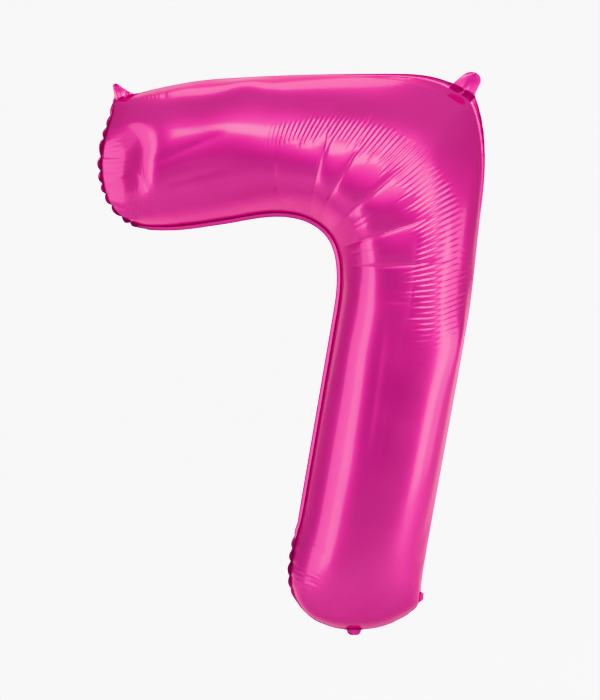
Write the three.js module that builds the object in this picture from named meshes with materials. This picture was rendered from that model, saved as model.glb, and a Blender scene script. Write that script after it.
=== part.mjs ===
// A foil number balloon in the shape of a 7, inflated. Millimetres, +Z up, +X to the right, front towards -Y.
// The origin is the tip of the fill neck, the lowest point, on the plane where the two foils are welded.
//
// Two foils of one outline, a front and a back one, are welded together along a line just inside their edges.
// Gas domes both foils, and the flat margin stays outside the weld. Short tabs of double foil stand on the
// margin: two at the top corners and a small one at the lower right corner, to hang the balloon by, and the
// fill neck at the foot. Each folds along its root. A flat self-sealing valve, two film plies, lies inside
// above the neck. Real foil is about 0.03 thick. Here every film is thick enough to be a sound solid.
import * as THREE from "three";

// Films and the gaps that keep them apart
const foil = 0.4; // a foil panel, or one ply of a tab
const valveFilm = 0.25; // one ply of the valve
const gap = 0.3; // between two films that touch on the real balloon
const foldClearance = 0.2; // left between a folding tab's root and the margin's edge

// The numeral, measured to the edge of the margin
const topZ = 856; // highest point of the bar
const barLength = 590; // left end of the bar to the right side
const barWidth = 218.5;
const legWidth = 204; // measured level, not square to the leg
const legLean = 9.7; // degrees
const legFootX = -12; // where the leg's axis crosses the lowest level
const bendRadius = 94; // inside of the bend
const cornerSwell = 18.5; // how far the outer corner stands past the leg's right side
const barDroop = 40; // drop of the bar's upper side at its left end
const footRise = 43; // how far the foot's right corner is above its lowest point
const footFlare = 4.5; // how far the leg swells on the left, just over the foot
const margin = 7; // flat foil outside the weld line
const roundness = 1; // depth over width of an evenly round limb, before the limit below
const fullestDome = 112; // height that the film can't reach, even in the wide outer corner

// Tabs: width at the root, width at the tip, length, radius of the tip's corners, sideways lean of the tip
const topLeftTab = { root: 34, tip: 11, length: 21, radius: 4, lean: -6 };
const topRightTab = { root: 37, tip: 24, length: 30, radius: 11.9, lean: 6 };
const lowerRightTab = { root: 15, tip: 10, length: 11, radius: 4, lean: 0 };
const fillNeck = { root: 22, tip: 19, length: 8, radius: 6, lean: 0 };
const lowerRightFold = 62; // degrees that the lower right tab is folded back, at rest

// The valve, just above the foot's weld
const valveWidth = 34;
const valveLength = 118;
const valveRadius = 6;
const valveSetback = 3; // from the foot's lining to the valve's lower end

// Mesh
const columns = { bar: 20, bend: 14, leg: 22 }; // along the numeral
const rows = 14; // across a limb
const relaxations = 500;
const overRelaxation = 1.7;
const arcPieces = 6; // straight pieces in a tab's rounded corner

const radians = THREE.MathUtils.degToRad;
const foldGap = 2 * (gap / 2 + foil + foldClearance); // from the margin's edge to a tab's root
const footZ = fillNeck.length + foldGap;
const underZ = topZ - barWidth;
const bendZ = underZ - bendRadius;
const legUp = 90 - legLean; // heading of a line that climbs the leg
const right = legSide(bendZ, 1) + cornerSwell;
const left = right - barLength;
const bendX = legSide(bendZ, -1) - bendRadius;
const lastColumn = columns.bar + columns.bend + columns.leg;

// The leg's side at a height: 1 is the right side and -1 the left one.
function legSide(z, side) {
  return legFootX + Math.tan(radians(legLean)) * (z - footZ) + (side * legWidth) / 2;
}

// A knot is a point of the outline and the line's heading there, in degrees from +X towards +Z. At a corner
// the line leaves with another heading.
function knot(x, z, heading, leaving = heading) {
  return { at: new THREE.Vector2(x, z), heading, leaving };
}

function headingVector(degrees) {
  return new THREE.Vector2(Math.cos(radians(degrees)), Math.sin(radians(degrees)));
}

// The knot at the far end of a straight run.
function straightOn(from, length, leaving = from.leaving) {
  const at = from.at.clone().addScaledVector(headingVector(from.leaving), length);
  return { at, heading: from.leaving, leaving };
}

// The outline, clockwise, in stretches that meet at the bar's left corners and at the foot's corners. The tabs
// and the neck stand on its straight runs.
function makeOutline() {
  const topLeft = knot(left + 0.6 * barDroop, topZ - barDroop, 66, 15);
  const topRight = knot(right - 49, topZ - 15.5, -27);
  const footRight = knot(legSide(footZ + footRise, 1) + 3, footZ + footRise, -95, -112);
  const lowerRight = straightOn({ ...footRight, leaving: 85 }, lowerRightTab.root);
  const neckRight = knot(fillNeck.root / 2, footZ, 180);
  const footLeft = knot(legSide(footZ, -1) + 34, footZ + 0.75 * footRise, 132);
  const underLeft = knot(left + 38, underZ - 6, 142);
  return {
    barTop: [
      topLeft,
      straightOn(topLeft, topLeftTab.root),
      knot(left + 0.31 * barLength, topZ - 0.2 * barDroop, 4),
      knot(right - 140, topZ, 0),
    ],
    corner: [
      knot(right - 140, topZ, 0),
      topRight,
      straightOn(topRight, topRightTab.root, -68),
      knot(right, topZ - 134, -90),
      knot(legSide(bendZ + bendRadius, 1) - 5, bendZ + bendRadius, -97),
    ],
    legRight: [
      knot(legSide(bendZ + bendRadius, 1) - 5, bendZ + bendRadius, -97),
      knot(legSide(bendZ - 0.7 * bendRadius, 1) + 0.16 * cornerSwell, bendZ - 0.7 * bendRadius, legUp - 180),
      knot(legSide(footZ + 2.5 * footRise, 1), footZ + 2.5 * footRise, legUp - 180),
      knot(lowerRight.at.x, lowerRight.at.y, -95),
      footRight,
    ],
    foot: [
      footRight,
      knot(legSide(footZ, 1) - 20, footZ + 0.37 * footRise, -150),
      neckRight,
      straightOn(neckRight, fillNeck.root),
      knot(legSide(footZ, -1) + 62, footZ + 0.24 * footRise, 158),
      footLeft,
    ],
    legLeft: [
      footLeft,
      knot(legSide(footZ + 1.9 * footRise, -1) - 0.3 * footFlare, footZ + 1.9 * footRise, 92),
      knot(legSide(footZ + 2.9 * footRise, -1) - footFlare, footZ + 2.9 * footRise, 82),
      knot(legSide(footZ + 4 * footRise, -1), footZ + 4 * footRise, legUp),
      knot(legSide(bendZ - 0.7 * bendRadius, -1), bendZ - 0.7 * bendRadius, legUp),
      knot(bendX + bendRadius - 3.5, bendZ, 90),
    ],
    bend: [
      knot(bendX + bendRadius - 3.5, bendZ, 90),
      knot(bendX + 0.74 * bendRadius, bendZ + 0.74 * bendRadius, 135),
      knot(bendX, underZ, 180),
    ],
    barUnder: [
      knot(bendX, underZ, 180),
      knot(bendX - 86, underZ - 0.3 * barDroop, 188),
      knot(left + 109, underZ - 0.52 * barDroop, 180),
      underLeft,
    ],
    end: [
      underLeft,
      knot(left, underZ + 78, 90),
      knot(left + 0.38 * barDroop, topZ - 1.75 * barDroop, 68),
      topLeft,
    ],
    roots: {
      topLeft: { from: topLeft, heading: 15 },
      topRight: { from: topRight, heading: -27 },
      lowerRight: { from: lowerRight, heading: -95 },
      neck: { from: neckRight, heading: 180 },
    },
  };
}

// Points along a line through knots, at even steps. Between two knots the line turns evenly, as an arc does.
// Each knot pulls the nearest point onto itself, so no corner is cut.
function pointsAlong(knots, count) {
  const path = new THREE.CurvePath();
  for (let i = 0; i + 1 < knots.length; i++) {
    const [a, b] = [knots[i], knots[i + 1]];
    const turn = radians(THREE.MathUtils.euclideanModulo(b.heading - a.leaving + 180, 360) - 180);
    const handle = a.at.distanceTo(b.at) / (3 * Math.cos(turn / 4) ** 2);
    const leave = a.at.clone().addScaledVector(headingVector(a.leaving), handle);
    const arrive = b.at.clone().addScaledVector(headingVector(b.heading), -handle);
    path.add(new THREE.CubicBezierCurve(a.at, leave, arrive, b.at));
  }
  const lengths = path.getCurveLengths();
  const total = lengths.at(-1);
  const shares = Array.from({ length: count + 1 }, (_, i) => i / count);
  for (const length of lengths) shares[Math.round((length / total) * count)] = length / total;
  return shares.map((share) => path.getPoint(share));
}

// The outline's points, clockwise, and the grid place [column, row] of each.
function makeRing(outline) {
  const stretches = [
    [outline.barTop, columns.bar],
    [outline.corner, columns.bend],
    [outline.legRight, columns.leg],
    [outline.foot, rows],
    [outline.legLeft, columns.leg],
    [outline.bend, columns.bend],
    [outline.barUnder, columns.bar],
    [outline.end, rows],
  ];
  const points = stretches.flatMap(([knots, count]) => pointsAlong(knots, count).slice(0, -1));
  const places = [];
  for (let c = 0; c < lastColumn; c++) places.push([c, 0]);
  for (let r = 0; r < rows; r++) places.push([lastColumn, r]);
  for (let c = lastColumn; c > 0; c--) places.push([c, rows]);
  for (let r = rows; r > 0; r--) places.push([0, r]);
  return points.map((edge, i) => {
    const next = points[(i + 1) % points.length].clone().sub(edge).normalize();
    const before = edge.clone().sub(points.at(i - 1)).normalize();
    const along = next.add(before).normalize();
    const outward = new THREE.Vector2(-along.y, along.x);
    return { edge, outward, weld: edge.clone().addScaledVector(outward, -margin), place: places[i] };
  });
}

// Rows are denser near both sides, where the dome is steep.
function rowShare(r) {
  return 0.5 - 0.5 * Math.cos((Math.PI * r) / rows);
}

// A flat grid inside the weld line: each point blends the two sides and the two ends (a Coons patch).
function fillWeldLine(ring) {
  const welds = new Map(ring.map(({ place, weld }) => [place.join(), weld]));
  const at = (c, r) => welds.get(`${c},${r}`);
  const mix = (a, b, share) => a.clone().lerp(b, share);
  return Array.from({ length: lastColumn + 1 }, (_, c) =>
    Array.from({ length: rows + 1 }, (_, r) => {
      if (at(c, r)) return at(c, r);
      const [u, v] = [c / lastColumn, rowShare(r)];
      const start = mix(at(0, 0), at(0, rows), v);
      const stop = mix(at(lastColumn, 0), at(lastColumn, rows), v);
      return mix(at(c, 0), at(c, rows), v).add(mix(at(0, r), at(lastColumn, r), u)).sub(mix(start, stop, u));
    }),
  );
}

// Every triangle of the grid. A cell is cut so that no corner of the grid gets a flat triangle.
function forEachTriangle(visit) {
  for (let c = 0; c < lastColumn; c++)
    for (let r = 0; r < rows; r++) {
      const [a, b, d, e] = [[c, r], [c + 1, r], [c + 1, r + 1], [c, r + 1]];
      const throughA = c < lastColumn / 2 === r < rows / 2;
      visit(throughA ? [a, b, d] : [a, b, e]);
      visit(throughA ? [a, d, e] : [b, d, e]);
    }
}

// Height of the film over each grid point. The height squared solves Poisson's equation, with no height on
// the weld line, which makes a long limb an even tube and closes its ends smoothly.
function inflate(flat) {
  const index = (c, r) => c * (rows + 1) + r;
  const count = (lastColumn + 1) * (rows + 1);
  const links = Array.from({ length: count }, () => new Map());
  const load = new Float64Array(count);
  const link = (i, j, weight) => links[i].set(j, (links[i].get(j) ?? 0) + weight);
  forEachTriangle((triangle) => {
    const points = triangle.map(([c, r]) => flat[c][r]);
    const indices = triangle.map(([c, r]) => index(c, r));
    for (let k = 0; k < 3; k++) {
      const [i, j] = [(k + 1) % 3, (k + 2) % 3];
      const a = points[i].clone().sub(points[k]);
      const b = points[j].clone().sub(points[k]);
      const twiceArea = Math.abs(a.cross(b));
      link(indices[i], indices[j], a.dot(b) / twiceArea / 2);
      link(indices[j], indices[i], a.dot(b) / twiceArea / 2);
      load[indices[k]] += twiceArea / 6;
    }
  });
  const squares = new Float64Array(count);
  for (let pass = 0; pass < relaxations; pass++)
    for (let c = 1; c < lastColumn; c++)
      for (let r = 1; r < rows; r++) {
        const i = index(c, r);
        let sum = load[i];
        let weights = 0;
        for (const [j, weight] of links[i]) {
          sum += weight * squares[j];
          weights += weight;
        }
        squares[i] += overRelaxation * (sum / weights - squares[i]);
      }
  return (c, r) => {
    const round = roundness * Math.sqrt(2 * squares[index(c, r)]);
    return round / (1 + (round / fullestDome) ** 4) ** (1 / 4);
  };
}

// Unit normals of a grid of points, on the side away from the weld plane.
function gridNormals(points) {
  return points.map((line, c) =>
    line.map((_, r) => {
      const along = points[Math.min(c + 1, lastColumn)][r].clone().sub(points[Math.max(c - 1, 0)][r]);
      const across = points[c][Math.min(r + 1, rows)].clone().sub(points[c][Math.max(r - 1, 0)]);
      const normal = along.cross(across).normalize();
      return normal.y < 0 ? normal.negate() : normal;
    }),
  );
}

// A geometry from triangles given for the back foil. The front foil, side -1, is its mirror image.
function shellGeometry(triangles, side) {
  const flat = triangles.flatMap((triangle) => {
    const corners = side > 0 ? triangle : triangle.toReversed();
    return corners.flatMap(({ x, y, z }) => [x, side * y, z]);
  });
  const geometry = new THREE.BufferGeometry();
  geometry.setAttribute("position", new THREE.Float32BufferAttribute(flat, 3));
  geometry.computeVertexNormals();
  return geometry;
}

// The back foil in one closed shell: the dome, a lining one foil thickness inside it, and the flat margin.
function panelTriangles(ring) {
  const flat = fillWeldLine(ring);
  const height = inflate(flat);
  const innerY = gap / 2;
  const outerY = innerY + foil;
  const skin = flat.map((line, c) => line.map((p, r) => new THREE.Vector3(p.x, outerY + height(c, r), p.y)));
  const normals = gridNormals(skin);
  for (const { place, outward } of ring) normals[place[0]][place[1]].set(outward.x, 0, outward.y);
  const lining = skin.map((line, c) => line.map((p, r) => p.clone().addScaledVector(normals[c][r], -foil)));
  for (const { place } of ring) lining[place[0]][place[1]].setY(innerY);
  const triangles = [];
  const quad = (a, b, c, d) => triangles.push([a, b, c], [a, c, d]);
  forEachTriangle((triangle) => {
    triangles.push(triangle.map(([c, r]) => skin[c][r]));
    triangles.push(triangle.map(([c, r]) => lining[c][r]).toReversed());
  });
  ring.forEach((here, i) => {
    const next = ring[(i + 1) % ring.length];
    const edge = ({ edge: point }, y) => new THREE.Vector3(point.x, y, point.y);
    const onGrid = (grid, { place }) => grid[place[0]][place[1]];
    quad(onGrid(skin, next), onGrid(skin, here), edge(here, outerY), edge(next, outerY));
    quad(edge(next, outerY), edge(here, outerY), edge(here, innerY), edge(next, innerY));
    quad(edge(next, innerY), edge(here, innerY), onGrid(lining, here), onGrid(lining, next));
  });
  return triangles;
}

// A tab's outline in its own plane: the root lies along x on the origin, and the tip is up y.
function tabShape({ root, tip, length, radius, lean }) {
  const rootRight = new THREE.Vector2(root / 2, 0);
  const tipRight = new THREE.Vector2(lean + tip / 2, length);
  const tipLeft = new THREE.Vector2(lean - tip / 2, length);
  const rootLeft = new THREE.Vector2(-root / 2, 0);
  const shape = new THREE.Shape().moveTo(rootLeft.x, rootLeft.y).lineTo(rootRight.x, rootRight.y);
  for (const [before, corner, after] of [[rootRight, tipRight, tipLeft], [tipRight, tipLeft, rootLeft]]) {
    const start = corner.clone().addScaledVector(before.clone().sub(corner).normalize(), radius);
    const stop = corner.clone().addScaledVector(after.clone().sub(corner).normalize(), radius);
    shape.lineTo(start.x, start.y);
    shape.quadraticCurveTo(corner.x, corner.y, stop.x, stop.y);
  }
  return shape;
}

// A flat upright ply of that outline. Side is 1 behind the middle plane and -1 in front of it.
function plyGeometry(shape, thickness, side) {
  const settings = { depth: thickness, bevelEnabled: false, curveSegments: arcPieces };
  const geometry = new THREE.ExtrudeGeometry(shape, settings);
  geometry.translate(0, 0, side > 0 ? -gap / 2 - thickness : gap / 2);
  return geometry.rotateX(Math.PI / 2);
}

function named(name, geometry, surface) {
  const mesh = new THREE.Mesh(geometry, surface);
  mesh.name = name;
  return mesh;
}

// A tab's two plies in a group whose origin is on the fold line. Fold is how far it is bent back, in degrees.
function makeTab(name, root, tab, fold = 0) {
  const group = new THREE.Group();
  for (const [face, side] of [["front", -1], ["back", 1]]) {
    const ply = named(`${name}_${face}`, plyGeometry(tabShape(tab), foil, side), pinkFoil);
    ply.position.z = foldGap / 2;
    group.add(ply);
  }
  const out = headingVector(root.heading + 90);
  const foldLine = root.from.at.clone().addScaledVector(headingVector(root.heading), tab.root / 2);
  foldLine.addScaledVector(out, foldGap / 2);
  group.position.set(foldLine.x, 0, foldLine.y);
  group.rotation.set(-radians(fold), -radians(root.heading), 0, "YXZ");
  return group;
}

// The valve's two plies, upright inside the leg.
function makeValve() {
  const shape = tabShape({ root: valveWidth, tip: valveWidth, length: valveLength, radius: valveRadius, lean: 0 });
  const group = new THREE.Group();
  for (const [face, side] of [["front", -1], ["back", 1]])
    group.add(named(`valve_${face}_ply`, plyGeometry(shape, valveFilm, side), clearFilm));
  group.position.z = footZ + margin + foil + valveSetback;
  return group;
}

const pinkFoil = new THREE.MeshStandardMaterial({ color: 0xdd1c91, roughness: 0.3, metalness: 0.9 });
const clearFilm = new THREE.MeshStandardMaterial({ color: 0xe8ecee, roughness: 0.25, metalness: 0 });

const outline = makeOutline();
const backFoil = panelTriangles(makeRing(outline));
const balloon = new THREE.Group();
balloon.add(named("front_panel", shellGeometry(backFoil, -1), pinkFoil));
balloon.add(named("back_panel", shellGeometry(backFoil, 1), pinkFoil));
balloon.add(makeTab("top_left_tab", outline.roots.topLeft, topLeftTab));
balloon.add(makeTab("top_right_tab", outline.roots.topRight, topRightTab));
balloon.add(makeTab("lower_right_tab", outline.roots.lowerRight, lowerRightTab, lowerRightFold));
balloon.add(makeTab("fill_neck", outline.roots.neck, fillNeck));
balloon.add(makeValve());

export default balloon;
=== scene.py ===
# %% [markdown]
# # A foil balloon in the shape of a 7
#
# A number balloon is two sheets of metallised film, cut to one outline and welded together just inside
# the edge. Gas pushes the sheets apart, and because film doesn't stretch, it can only become round by
# drawing its edges in and creasing. The script loads the measured model first, so that every piece has
# its place.

# %% Load the frame
import math

import bpy
import numpy as np
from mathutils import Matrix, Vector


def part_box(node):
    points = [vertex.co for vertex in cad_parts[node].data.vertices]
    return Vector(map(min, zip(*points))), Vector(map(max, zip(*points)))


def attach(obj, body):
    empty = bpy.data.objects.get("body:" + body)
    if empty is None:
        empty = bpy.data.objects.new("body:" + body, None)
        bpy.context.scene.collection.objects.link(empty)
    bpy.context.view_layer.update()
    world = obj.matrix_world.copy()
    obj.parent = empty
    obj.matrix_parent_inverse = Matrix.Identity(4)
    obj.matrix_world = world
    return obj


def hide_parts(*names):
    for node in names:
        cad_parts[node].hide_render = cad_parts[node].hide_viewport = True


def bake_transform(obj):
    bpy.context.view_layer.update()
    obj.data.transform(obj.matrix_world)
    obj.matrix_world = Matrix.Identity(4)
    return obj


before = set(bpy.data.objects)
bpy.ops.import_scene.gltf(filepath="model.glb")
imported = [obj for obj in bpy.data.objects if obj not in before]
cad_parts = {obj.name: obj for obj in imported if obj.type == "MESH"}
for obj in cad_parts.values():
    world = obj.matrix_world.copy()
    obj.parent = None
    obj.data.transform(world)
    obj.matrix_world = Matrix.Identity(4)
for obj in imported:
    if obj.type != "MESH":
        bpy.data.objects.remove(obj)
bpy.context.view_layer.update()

panel_low, panel_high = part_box("front_panel")

# %% [markdown]
# ## The outline
#
# A seven reads as one limb that turns a corner: a bar, a bend and a leg. Its outline is written down as
# a few knots, each a point and the heading of the line there, the way a pattern cutter marks a curve.
# Between two knots the line turns evenly. The bar's ends and the foot's corners split the outline into
# four sides, so that a grid can be laid over the whole numeral.

# %% Sizes of the numeral
mm = 0.001
left, right = float(panel_low[0]), float(panel_high[0])
foot, top = float(panel_low[2]), float(panel_high[2])
bar_width = 218.5 * mm
leg_width = 204 * mm  # measured level
leg_lean = math.radians(9.7)
leg_foot_x = -12 * mm  # the leg's axis at the foot
bend_radius = 94 * mm
corner_swell = 18.5 * mm
bar_droop = 40 * mm
foot_rise = 43 * mm
foot_flare = 4.5 * mm
margin = 7 * mm  # the flat film outside the weld

under = top - bar_width
bend_z = under - bend_radius
leg_up = 90 - math.degrees(leg_lean)


def leg_side(z, side):
    """The leg's right side, 1, or left side, -1, at a height: its axis climbs to the right at the
    lean."""
    return leg_foot_x + math.tan(leg_lean) * (z - foot) + side * leg_width / 2


bend_x = leg_side(bend_z, -1) - bend_radius
print("bend centre", round(bend_x, 4), round(bend_z, 4))

# %% Knots of the outline
root_widths = {"top_left_tab": 34 * mm, "top_right_tab": 37 * mm, "lower_right_tab": 15 * mm,
               "fill_neck": 22 * mm}
root_headings = {"top_left_tab": 15, "top_right_tab": -27, "lower_right_tab": -95, "fill_neck": 180}


def heading_vector(degrees):
    return np.array([math.cos(math.radians(degrees)), math.sin(math.radians(degrees))])


def knot(x, z, heading, leaving=None):
    return np.array([x, z]), heading, heading if leaving is None else leaving


def straight_on(start, length, leaving=None):
    """The knot at the far end of a straight run."""
    return start[0] + length * heading_vector(start[2]), start[2], start[2] if leaving is None else leaving


def outline_knots():
    """The outline clockwise, as eight runs of knots."""
    top_left = knot(left + 0.6 * bar_droop, top - bar_droop, 66, 15)
    crown = knot(right - 140 * mm, top, 0)
    top_right = knot(right - 49 * mm, top - 15.5 * mm, -27)
    shoulder = knot(leg_side(bend_z + bend_radius, 1) - 5 * mm, bend_z + bend_radius, -97)
    foot_right = knot(leg_side(foot + foot_rise, 1) + 3 * mm, foot + foot_rise, -95, -112)
    lower_root = foot_right[0] + root_widths["lower_right_tab"] * heading_vector(85)
    neck = knot(root_widths["fill_neck"] / 2, foot, 180)
    foot_left = knot(leg_side(foot, -1) + 34 * mm, foot + 0.75 * foot_rise, 132)
    under_left = knot(left + 38 * mm, under - 6 * mm, 142)
    bend_low = knot(bend_x + bend_radius - 3.5 * mm, bend_z, 90)
    bend_high = knot(bend_x, under, 180)
    leg_top = bend_z - 0.7 * bend_radius

    def on_leg(rises, side, out, heading):
        z = foot + rises * foot_rise
        return knot(leg_side(z, side) + side * out, z, heading)

    return {
        "bar_top": [top_left, straight_on(top_left, root_widths["top_left_tab"]),
                    knot(left + 0.31 * (right - left), top - 0.2 * bar_droop, 4), crown],
        "corner": [crown, top_right, straight_on(top_right, root_widths["top_right_tab"], -68),
                   knot(right, top - 134 * mm, -90), shoulder],
        "leg_right": [shoulder, knot(leg_side(leg_top, 1) + 0.16 * corner_swell, leg_top, leg_up - 180),
                      on_leg(2.5, 1, 0, leg_up - 180), knot(*lower_root, -95), foot_right],
        "foot": [foot_right, knot(leg_side(foot, 1) - 20 * mm, foot + 0.37 * foot_rise, -150), neck,
                 straight_on(neck, root_widths["fill_neck"]),
                 knot(leg_side(foot, -1) + 62 * mm, foot + 0.24 * foot_rise, 158), foot_left],
        "leg_left": [foot_left, on_leg(1.9, -1, 0.3 * foot_flare, 92), on_leg(2.9, -1, foot_flare, 82),
                     on_leg(4, -1, 0, leg_up), knot(leg_side(leg_top, -1), leg_top, leg_up), bend_low],
        "bend": [bend_low, knot(bend_x + 0.74 * bend_radius, bend_z + 0.74 * bend_radius, 135), bend_high],
        "bar_under": [bend_high, knot(bend_x - 86 * mm, under - 0.3 * bar_droop, 188),
                      knot(left + 109 * mm, under - 0.52 * bar_droop, 180), under_left],
        "end": [under_left, knot(left, under + 78 * mm, 90),
                knot(left + 0.38 * bar_droop, top - 1.75 * bar_droop, 68), top_left],
    }


def smooth_line(knots, steps=200):
    """Points and outward normals along a line through knots. Each piece is a cubic Bezier whose handles
    are the chord over three times the squared cosine of a quarter of the turn, which is an arc's own
    handle."""
    points, normals = [], []
    t = np.linspace(0, 1, steps)[:, None]
    for (a, _, leaving), (b, arriving, _) in zip(knots[:-1], knots[1:]):
        turn = math.radians((arriving - leaving + 180) % 360 - 180)
        handle = np.linalg.norm(b - a) / (3 * math.cos(turn / 4) ** 2)
        c, d = a + handle * heading_vector(leaving), b - handle * heading_vector(arriving)
        points.append((1 - t) ** 3 * a + 3 * (1 - t) ** 2 * t * c + 3 * (1 - t) * t**2 * d + t**3 * b)
        along = (1 - t) ** 2 * (c - a) + 2 * (1 - t) * t * (d - c) + t**2 * (b - d)
        along /= np.linalg.norm(along, axis=1)[:, None]
        normals.append(np.column_stack([-along[:, 1], along[:, 0]]))
    return np.vstack(points), np.vstack(normals)


def run_length(points):
    """Distance walked along a row of points, from 0."""
    return np.concatenate([[0], np.cumsum(np.linalg.norm(np.diff(points, axis=0), axis=1))])


def pick(line, shares):
    """Points and normals at shares of a line's length."""
    points, normals = line
    walked = run_length(points)
    at = np.asarray(shares) * walked[-1]
    place = np.column_stack([np.interp(at, walked, points[:, k]) for k in (0, 1)])
    out = np.column_stack([np.interp(at, walked, normals[:, k]) for k in (0, 1)])
    return place, out / np.linalg.norm(out, axis=1)[:, None]


def find_tab_roots():
    """Both ends of each tab's root: the straight stretch of the outline with its heading and its
    width."""
    found = {}
    for knots in outline_knots().values():
        for (a, _, leaving), (b, arriving, _) in zip(knots[:-1], knots[1:]):
            length = np.linalg.norm(b - a)
            for tab, heading in root_headings.items():
                straight = abs(leaving - heading) < 1e-6 and abs(arriving - heading) < 1e-6
                if straight and abs(length - root_widths[tab]) < 1e-6:
                    found[tab] = (a, b)
    return found


lines = {name: smooth_line(knots) for name, knots in outline_knots().items()}
tab_roots = find_tab_roots()
print("tab roots", {tab: [p.round(4).tolist() for p in ends] for tab, ends in tab_roots.items()})
print("outline length", round(sum(run_length(line[0])[-1] for line in lines.values()), 3))

# %% [markdown]
# ## A grid over the numeral
#
# Every point of the foil gets two numbers: how far along the limb it is, and how far across it. Columns
# of the grid run across the limb and turn with it round the bend, so a crease that fans out from the
# bend is just a line of one column. The columns stand closer where the film has fine creases and where
# it closes at an end.

# %% Columns and rows
rows = 108
coarser = 4  # how many cells of the grid one cell of the hidden inner wall covers
spacing_coarse = 4.2 * mm
spacing_fine = 1.1 * mm
spacing_ends = 1.7 * mm
limb_lengths = np.array([0.27, 0.36, 0.53])  # the bar, the bend and the leg, along their middles


def smooth_step(x, start, stop):
    """0 before start, 1 after stop, and a smooth S between."""
    u = np.clip((np.asarray(x, float) - start) / (stop - start), 0, 1)
    return u * u * (3 - 2 * u)


def column_places():
    """Where the columns stand, as bar 0 to 1, bend 1 to 2 and leg 2 to 3: the running total of one over
    the wanted spacing, cut into even parts. The places where the runs join are kept exactly."""
    fine = np.linspace(0, 3, 3001)
    length = np.interp(fine, [0, 1, 2, 3], np.concatenate([[0], np.cumsum(limb_lengths)]))
    total = length[-1]
    at_bend = smooth_step(fine, 0.75, 0.95) * (1 - smooth_step(fine, 2.10, 2.25))
    at_ends = 1 - smooth_step(np.minimum(length, total - length + 0.02), 0.09, 0.13)
    wanted = spacing_coarse + (spacing_fine - spacing_coarse) * at_bend
    wanted += (spacing_ends - spacing_coarse) * at_ends
    counted = np.concatenate([[0], np.cumsum(np.diff(length) / ((wanted[1:] + wanted[:-1]) / 2))])
    cells = coarser * int(round(counted[-1] / coarser))
    places = np.interp(np.linspace(0, counted[-1], cells + 1), counted, fine)
    for join in (1, 2):
        places[np.argmin(np.abs(places - join))] = join
    return places


places = column_places()
columns = len(places) - 1
even = np.arange(rows + 1) / rows
row_shares = 0.82 * even + 0.18 * (0.5 - 0.5 * np.cos(np.pi * even))
print("grid", columns, "by", rows)

# %% [markdown]
# ## Walk round the outline
#  The film's cut edge is one closed line, and each side of the grid is a stretch of it. Walking along
# it at even shares gives every column and row its own point on the edge, and the direction that leads
# outwards there.

# %% The four sides of the grid
def join_lines(*names):
    """Several runs of the outline as one line."""
    return np.vstack([lines[name][0] for name in names]), np.vstack([lines[name][1] for name in names])


outer_line = join_lines("bar_top", "corner", "leg_right")
inner_line = join_lines("leg_left", "bend", "bar_under")
outer_walk = run_length(outer_line[0])
inner_walk = run_length(inner_line[0])
on_top = outer_line[0][:, 1] > top - 60 * mm
over_bend = float(np.interp(bend_x, outer_line[0][:, 0][on_top], outer_walk[on_top]))
beside_bend = float(np.interp(-bend_z, -outer_line[0][400:, 1], outer_walk[400:]))
legs_end = run_length(lines["leg_left"][0])[-1]
bends_end = legs_end + run_length(lines["bend"][0])[-1]
outer_stops = np.array([0, over_bend, beside_bend, outer_walk[-1]]) / outer_walk[-1]
inner_stops = np.array([inner_walk[-1], bends_end, legs_end, 0]) / inner_walk[-1]
outer_shares = np.interp(places, [0, 1, 2, 3], outer_stops)
inner_shares = np.interp(places, [0, 1, 2, 3], inner_stops)
outer_edge, outer_out = pick(outer_line, outer_shares)
inner_edge, inner_out = pick(inner_line, inner_shares)
foot_edge, foot_out = pick(lines["foot"], row_shares)
end_edge, end_out = pick(lines["end"], 1 - row_shares)
ring_columns = np.concatenate([np.arange(columns), np.full(rows, columns), np.arange(columns, 0, -1),
                               np.zeros(rows, int)])
ring_rows = np.concatenate([np.zeros(columns, int), np.arange(rows), np.full(columns, rows),
                            np.arange(rows, 0, -1)])
ring_edge = np.vstack([outer_edge[:-1], foot_edge[:-1], inner_edge[:0:-1], end_edge[:0:-1]])
ring_out = np.vstack([outer_out[:-1], foot_out[:-1], inner_out[:0:-1], end_out[:0:-1]])
corners = [0, columns, columns + rows, 2 * columns + rows]
for corner in corners:
    chord = ring_edge[(corner + 3) % len(ring_edge)] - ring_edge[corner - 3]
    ring_out[corner] = np.array([-chord[1], chord[0]]) / np.linalg.norm(chord)
ring_walk = run_length(np.vstack([ring_edge, ring_edge[:1]]))[:-1]
ring_total = float(ring_walk[-1] + np.linalg.norm(ring_edge[0] - ring_edge[-1]))
print("ring", len(ring_edge), "points", round(ring_total, 3), "m round")

# %% [markdown]
# ## From the edge to the middle
#  A Coons patch fills four sides with a net, as a drumskin fills a bent frame. The weld lies a few
# millimetres inside the cut edge. How much of the margin shows varies: it is folded back on the outer
# side and lies open inside the bend.

# %% Fill the grid
def ring_measure(*steps):
    """Numbers along the ring, from (index, number) steps, straight between them over the distance
    walked."""
    walked = np.append(ring_walk, ring_total)
    return np.interp(ring_walk, [walked[index] for index, _ in steps], [number for _, number in steps])


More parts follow.
